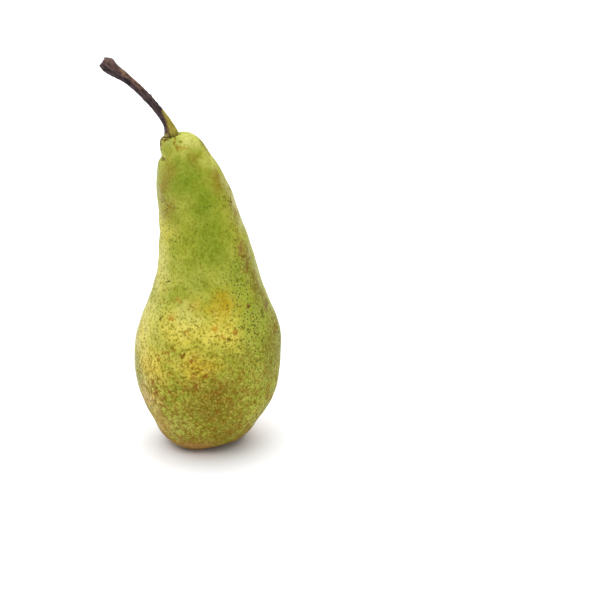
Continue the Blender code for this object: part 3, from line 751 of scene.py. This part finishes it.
ends = ((0.0, 0.0, 0.0), (0.0, 0.0, 1000 * along.max() / STREAK_LENGTH))
straight = np.vstack((straight.reshape(-1, 3), ends)).astype(np.float32)
stem.data.attributes.new("straight", "FLOAT_VECTOR", "POINT").data.foreach_set(
    "vector", straight.ravel()
)
ragged = relief(stem_points, EDGE_RELIEF, seed=14)
past_edge = side - np.interp(along, FRESH_PLACES, FRESH_EDGES) + 0.4 * ragged
fresh = np.clip(0.5 + past_edge / FRESH_FADE, 0, 1)
worn = np.clip((side - 0.05 + ragged) / WORN_FADE, 0, 1)
worn = worn * np.interp(along, WORN_PLACES, WORN_SHARES)
bud_place, bud_direction = KNOBS[0][:2]
from_bud = np.hypot(
    (along - bud_place) / BUD_REACH[0], turned_between(angle, bud_direction) / BUD_REACH[1]
)
bud = np.exp(-(from_bud**2))
# painted shade: a dark brown line round the bud stands for the groove between it and the stem
painted_bud_groove_shade = np.exp(-(((from_bud - 1.5) / 0.4) ** 2))  # the dark line round the bud
for name, share in (("fresh", fresh), ("worn", worn), ("bud", bud), ("painted_bud_groove_shade", painted_bud_groove_shade)):
    store_share(stem, name, np.append(share.ravel(), (0.0, 0.0)))

bark, shader, mm = new_material("dry_pear_bark")
straight = add_node(bark, "Attribute", attribute_name="straight").outputs["Vector"]
fibre = {"Vector": straight, "Scale": STREAKS_PER_MM, "Detail": 5.0, "Roughness": 0.7}
streaks = add_node(bark, "TexNoise", fibre)
blotches = add_node(bark, "TexNoise", {"Vector": mm, "Scale": 1 / BLOTCH_SIZE, "Detail": 4.0})
streaky = add_node(bark, "MapRange", {0: streaks, 1: 0.44, 2: 0.58}, **SMOOTH)
blotchy = add_node(bark, "MapRange", {0: blotches, 1: 0.52, 2: 0.62, 4: 0.7}, **SMOOTH)
fresh, worn, bud, painted_bud_groove_shade = (
    add_node(bark, "Attribute", attribute_name=name).outputs["Fac"]
    for name in ("fresh", "worn", "bud", "painted_bud_groove_shade")
)
rubbed = add_node(bark, "MapRange", {0: streaks, 1: 0.42, 2: 0.58, 3: 0.1}, **SMOOTH)
rubbed = add_node(bark, "Math", {0: rubbed, 1: worn}, operation="MULTIPLY")
chips = add_node(bark, "Math", {0: blotchy, 1: worn}, operation="MULTIPLY")
browned = add_node(bark, "MapRange", {0: fresh, 1: 0.05, 2: 0.45}, **SMOOTH)
greened = add_node(bark, "MapRange", {0: fresh, 1: 0.45, 2: 0.95}, **SMOOTH)
fresh_brown = add_node(bark, "MapRange", {0: streaks, 1: 0.54, 2: 0.42, 4: 0.75}, **SMOOTH)
fresh_brown = add_node(bark, "Math", {0: fresh_brown, 1: fresh}, operation="MULTIPLY")
colour = layered(
    bark,
    hex_colour("150C0E"),
    (
        (streaky, "543F3F"),
        (rubbed, "8C6850"),
        (chips, "96704F"),
        (browned, "6E5630"),
        (greened, "A2963A"),
        (fresh_brown, "6E5A20"),
        # painted shade of the groove round the bud
        (painted_bud_groove_shade, "44341C"),
        (bud, "A39A52"),
    ),
)
bark.node_tree.links.new(colour, shader.inputs["Base Color"])
shader.inputs["Roughness"].default_value = 0.6
shader.inputs["IOR"].default_value = 1.45
shader.inputs["Specular IOR Level"].default_value = 0.25
bump = add_node(bark, "Bump", {"Height": streaks, "Strength": 0.5, "Distance": 0.0003})
bark.node_tree.links.new(bump.outputs[0], shader.inputs["Normal"])
stem.data.materials.append(bark)
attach(stem, "root")
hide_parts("stem")

# The calyx: what is left of the flower. A short tube sunk in the foot of the fruit, with five dried
# sepals curled back from its rim and the withered stamens standing in it. All brown and papery.
EYE_CENTRE = FOOT_CENTRE + np.array((OUTLINE[0][2] * BULB_RADIUS, 0.0, 0.0))
EYE_RADIUS = 0.0033
EYE_FLOOR, EYE_MOUTH = 0.0080, 0.0037  # heights of the closed end and of the rim over the ground
EYE_SIDES = 64
SEPAL_COUNT = 5
SEPAL_LENGTH, SEPAL_WIDTH, SEPAL_THICKNESS = 0.0043, 0.0027, 0.00032
SEPAL_BEND, BEND_SPREAD = 78.0, 8.0  # how far a sepal curls back in degrees, and how they differ
SEPAL_ROOT, SEPAL_DEPTH = 0.80, 0.0006  # where it grows: share of EYE_RADIUS, depth in the rim
SEPAL_TROUGH, SEPAL_TIP, SEPAL_CRINKLE = 0.0006, 0.00008, 0.00013
SEPAL_GRID = (25, 13)
STAMEN_COUNT = 15
STAMEN_RADIUS, STAMEN_LENGTH, STAMEN_DEPTH = 0.00017, 0.0030, 0.0022
STAMEN_STEPS, STAMEN_SIDES = 12, 8
# The tube's closed end, outer wall, rim and inner wall: radius as a share of EYE_RADIUS, and height
TUBE_PROFILE = (
    (0.20, EYE_FLOOR),
    (0.80, EYE_FLOOR),
    (1.00, EYE_FLOOR - 0.0008),
    (1.04, EYE_FLOOR - 0.0020),
    (1.04, EYE_MOUTH + 0.0006),
    (0.98, EYE_MOUTH - 0.0002),
    (0.86, EYE_MOUTH - 0.0002),
    (0.72, EYE_MOUTH + 0.0006),
    (0.60, EYE_MOUTH + 0.0018),
    (0.30, EYE_MOUTH + 0.0024),
)


def turned_tube():
    """Rings of the calyx tube: its profile turned round the eye, with shallow folds at its rim."""
    share, level = (part[:, None] for part in np.array(TUBE_PROFILE).T)
    angle = np.linspace(0, 2 * math.pi, EYE_SIDES, endpoint=False)[None, :]
    reach = EYE_RADIUS * share * (1 + 0.03 * np.sin(5 * angle + 0.6) + 0.015 * np.sin(13 * angle))
    rings = np.stack(
        np.broadcast_arrays(reach * np.cos(angle), reach * np.sin(angle), level), axis=-1
    )
    return EYE_CENTRE + rings[::-1]


def sepal_sheet(number):
    """Grid of one sepal: its middle line bends from down to outward, and it narrows to a tip.

    Across, it is a trough that deepens to the tip, with crinkles that grow with the length.
    """
    along = np.linspace(0, 1, SEPAL_GRID[0])[:, None]
    across = np.linspace(-1, 1, SEPAL_GRID[1])[None, :]
    sweep = math.radians(SEPAL_BEND + BEND_SPREAD * math.sin(2.3 * number))
    length = SEPAL_LENGTH * (1 + 0.10 * math.sin(4.1 * number))
    bend = length / sweep
    half_width = SEPAL_WIDTH / 2 * (1 - along**1.7) ** 0.8 + SEPAL_TIP
    crinkle = SEPAL_CRINKLE * along * np.sin(7 * along + 3 * across + number)
    outward = EYE_RADIUS * SEPAL_ROOT + bend * (1 - np.cos(sweep * along)) - SEPAL_TROUGH * across**2
    level = EYE_MOUTH + SEPAL_DEPTH - bend * np.sin(sweep * along) + crinkle
    sideways = across * half_width + 0.0003 * along * math.sin(5.3 * number)
    turn = 2 * math.pi * number / SEPAL_COUNT + 0.12 * math.sin(3.7 * number)
    sheet = np.stack(np.broadcast_arrays(outward, sideways, level), axis=-1)
    turned = np.array(
        (
            (math.cos(turn), math.sin(turn), 0.0),
            (-math.sin(turn), math.cos(turn), 0.0),
            (0.0, 0.0, 1.0),
        )
    )
    return EYE_CENTRE + sheet @ turned


def stamen_rings(number):
    """Rings of one withered stamen: a thin bent stalk with a small knob, leaning from the tube."""
    along = np.linspace(0, 1, STAMEN_STEPS)[:, None]
    angle = np.linspace(0, 2 * math.pi, STAMEN_SIDES, endpoint=False)[None, :]
    way = 2 * math.pi * number / STAMEN_COUNT + 0.2 * math.sin(2.1 * number)
    lean = 0.0012 + 0.0009 * math.sin(1.7 * number) ** 2
    start = EYE_RADIUS * (0.30 + 0.35 * (number % 2))
    out = start + lean * along**2 * (1 if number % 3 else -0.6)
    length = STAMEN_LENGTH + 0.0007 * math.sin(3.1 * number)
    level = EYE_MOUTH + STAMEN_DEPTH - length * along
    thick = STAMEN_RADIUS * (1 + 1.3 * np.exp(-(((along - 0.93) / 0.08) ** 2)))
    x = out * math.cos(way) + thick * np.cos(angle)
    y = out * math.sin(way) - thick * np.sin(angle)
    return EYE_CENTRE + np.stack(np.broadcast_arrays(x, y, level), axis=-1)


def sheet_mesh(name, sheets):
    """Open sheets of points as one mesh, joined square by square."""
    points, faces, start = [], [], 0
    for sheet in sheets:
        rows, columns = sheet.shape[:2]
        here = start + np.arange(rows * columns).reshape(rows, columns)
        squares = np.stack((here[:-1, :-1], here[:-1, 1:], here[1:, 1:], here[1:, :-1]), axis=-1)
        faces.extend(squares.reshape(-1, 4).tolist())
        points.append(sheet.reshape(-1, 3))
        start += rows * columns
    mesh = bpy.data.meshes.new(name)
    mesh.from_pydata(np.vstack(points).tolist(), [], faces)
    mesh.shade_smooth()
    piece = bpy.data.objects.new(name, mesh)
    bpy.context.scene.collection.objects.link(piece)
    return piece


tube_rings = turned_tube()
tube = closed_surface(
    "calyx_tube", tube_rings, tube_rings[0].mean(axis=0), tube_rings[-1].mean(axis=0)
)
sepals = sheet_mesh("calyx_sepals", [sepal_sheet(number) for number in range(SEPAL_COUNT)])
blade = sepals.modifiers.new("thickness", "SOLIDIFY")
blade.thickness = SEPAL_THICKNESS
blade.offset = 0.0
stamens = [
    closed_surface(f"stamen_{number}", rings, rings[0].mean(axis=0), rings[-1].mean(axis=0))
    for number, rings in enumerate(map(stamen_rings, range(STAMEN_COUNT)))
]

# Dried sepal: a leaf-like scale gone woody, dark brown, with paler downy edges, quite matt.
dry, shader, mm = new_material("dried_sepal")
crust = add_node(dry, "TexNoise", {"Vector": mm, "Scale": 1 / 0.7, "Detail": 5.0, "Roughness": 0.7})
downy = add_node(dry, "MapRange", {0: crust, 1: 0.35, 2: 0.7}, **SMOOTH)
colour = layered(dry, hex_colour("2A1D17"), ((downy, "7A6350"),))
dry.node_tree.links.new(colour, shader.inputs["Base Color"])
shader.inputs["Roughness"].default_value = 0.85
bump = add_node(dry, "Bump", {"Height": crust, "Strength": 0.6, "Distance": 0.0002})
dry.node_tree.links.new(bump.outputs[0], shader.inputs["Normal"])
for piece in (tube, sepals, *stamens):
    piece.data.materials.append(dry)
    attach(piece, "root")
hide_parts("calyx")

# The floor and the light tent: a matt white sheet under a white dome, and one wide soft lamp above,
# behind and a little to the left. The camera looks down on the pear, from where the photograph was
# taken.
FLOOR_SIZE, FLOOR_LEVEL = 6.0, -0.0001
bpy.ops.mesh.primitive_plane_add(size=FLOOR_SIZE, location=(0.0, 0.0, FLOOR_LEVEL))
floor = bpy.context.object
floor.name = "floor"
white = bpy.data.materials.new("white_sheet")
white.use_nodes = True
paper = white.node_tree.nodes["Principled BSDF"]
paper.inputs["Base Color"].default_value = hex_colour("F8F8FC")
paper.inputs["Roughness"].default_value = 0.9
paper.inputs["Specular IOR Level"].default_value = 0.1
floor.data.materials.append(white)
floor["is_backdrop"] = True

DOME_STRENGTH = 0.55
world = bpy.data.worlds.new("light_tent")
world.use_nodes = True
dome = world.node_tree.nodes["Background"]
dome.inputs["Color"].default_value = (1.0, 1.0, 1.0, 1.0)
dome.inputs["Strength"].default_value = DOME_STRENGTH
bpy.context.scene.world = world

LAMP_PLACE = (-0.25, 0.7, 1.6)
LAMP_WIDTH, LAMP_DEPTH, LAMP_WATTS = 3.0, 4.0, 70.0
lamp = bpy.data.lights.new("soft_box", "AREA")
lamp.shape = "RECTANGLE"
lamp.size = LAMP_WIDTH
lamp.size_y = LAMP_DEPTH
lamp.energy = LAMP_WATTS
lamp_holder = bpy.data.objects.new("soft_box", lamp)
lamp_holder.location = LAMP_PLACE
bpy.context.scene.collection.objects.link(lamp_holder)

CAMERA_PITCH = 20.0
CAMERA_LENS, CAMERA_SENSOR = 85.0, 36.0
FRAME_PIXELS = 600
FOOT_PIXEL = (206.0, 437.0)  # where the middle of the pear's foot shows in the photograph
FOOT_DEPTH = 0.5991  # from the lens, along the camera's axis
camera = bpy.data.cameras.new("camera")
camera.lens = CAMERA_LENS
camera.sensor_width = CAMERA_SENSOR
pitch = math.radians(CAMERA_PITCH)
forward = np.array((0.0, math.cos(pitch), -math.sin(pitch)))
upward = np.array((0.0, math.sin(pitch), math.cos(pitch)))
per_pixel = FOOT_DEPTH * camera.sensor_width / CAMERA_LENS / FRAME_PIXELS
right_of_axis = (FOOT_PIXEL[0] - FRAME_PIXELS / 2) * per_pixel
above_axis = (FRAME_PIXELS / 2 - FOOT_PIXEL[1]) * per_pixel
camera_holder = bpy.data.objects.new("camera", camera)
camera_holder.location = (
    FOOT_CENTRE - forward * FOOT_DEPTH - np.array((right_of_axis, 0.0, 0.0)) - upward * above_axis
)
camera_holder.rotation_euler = (math.pi / 2 - pitch, 0.0, 0.0)
bpy.context.scene.collection.objects.link(camera_holder)
bpy.context.scene.camera = camera_holder
bpy.context.scene.view_settings.view_transform = "Standard"

low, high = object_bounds()
